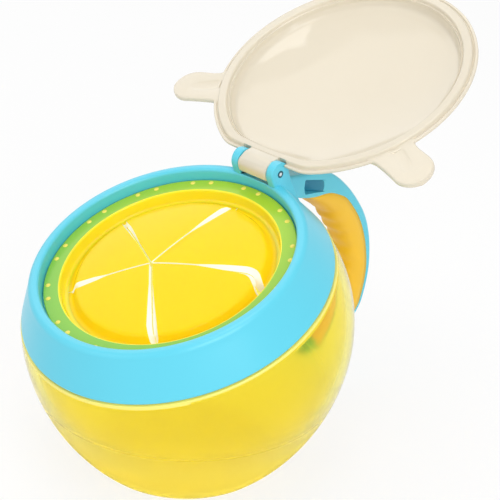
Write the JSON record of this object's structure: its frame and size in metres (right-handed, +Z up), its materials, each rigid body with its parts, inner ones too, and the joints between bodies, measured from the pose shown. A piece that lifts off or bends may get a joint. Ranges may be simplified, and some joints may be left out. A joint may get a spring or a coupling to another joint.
{
  "type": "toddler snack cup",
  "caption": "Round see-through snack cup with a tilted collar, C-shaped handle, soft star-slit top that a hand pushes through, and a hinged side-tab lid.",
  "frame": {"origin": "middle of the bowl's flat base, on the surface it stands on", "axes": "+Z up, -Y to the low front of the rim, +Y to the hinge and handle, hinge pin along X"},
  "size_m": [0.094, 0.1357, 0.1169],
  "materials": {
    "clear_yellow": "polished, see-through",
    "seal_white": "satin",
    "aqua": "satin gloss",
    "orange_grip": "fine matte",
    "soft_yellow": "glossy, slightly see-through",
    "clear_cream": "glossy, slightly see-through",
    "pin_steel": "bright"
  },
  "bodies": {
    "bowl": {"bowl": "clear_yellow"},
    "collar": {"collar": "aqua", "handle_grip": "orange_grip", "membrane": "soft_yellow", "bowl_seal": "seal_white", "hinge_pin": "pin_steel"},
    "lid": {"lid": "clear_cream"},
    "flap_1_body": {"flap_1": "soft_yellow"},
    "flap_2_body": {"flap_2": "soft_yellow"},
    "flap_3_body": {"flap_3": "soft_yellow"},
    "flap_4_body": {"flap_4": "soft_yellow"},
    "flap_5_body": {"flap_5": "soft_yellow"}
  },
  "joints": [
    {"name": "collar_lift", "type": "slide", "parent": "bowl", "child": "collar", "axis": [0, -0.3584, 0.9336], "range_m": [0, 0.012]},
    {"name": "lid_hinge", "type": "hinge", "parent": "collar", "child": "lid", "pos_m": [0, 0.02497, 0.07944], "axis": [1, 0, 0], "range_deg": [0, 172.2]},
    {"name": "flap_1_fold", "type": "hinge", "parent": "collar", "child": "flap_1_body", "pos_m": [0.01747, -0.01148, 0.05733], "axis": [-0.3047, -0.8892, -0.3413], "range_deg": [-20, 55], "stiffness_Nm_per_rad": 0.01},
    {"name": "flap_2_fold", "type": "hinge", "parent": "collar", "child": "flap_2_body", "pos_m": [0.01002, 0.00885, 0.06494], "axis": [0.8823, -0.4394, -0.1687], "range_deg": [-20, 55], "stiffness_Nm_per_rad": 0.01},
    {"name": "flap_3_fold", "type": "hinge", "parent": "collar", "child": "flap_3_body", "pos_m": [-0.01242, 0.00653, 0.06413], "axis": [0.6837, 0.6813, 0.2615], "range_deg": [-20, 55], "stiffness_Nm_per_rad": 0.01},
    {"name": "flap_4_fold", "type": "hinge", "parent": "collar", "child": "flap_4_body", "pos_m": [-0.01939, -0.01333, 0.05648], "axis": [-0.2169, 0.9114, 0.3498], "range_deg": [-20, 55], "stiffness_Nm_per_rad": 0.01},
    {"name": "flap_5_fold", "type": "hinge", "parent": "collar", "child": "flap_5_body", "pos_m": [-0.00198, -0.02492, 0.05196], "axis": [-0.9996, 0.0254, 0.0097], "range_deg": [-20, 55], "stiffness_Nm_per_rad": 0.01}
  ]
}
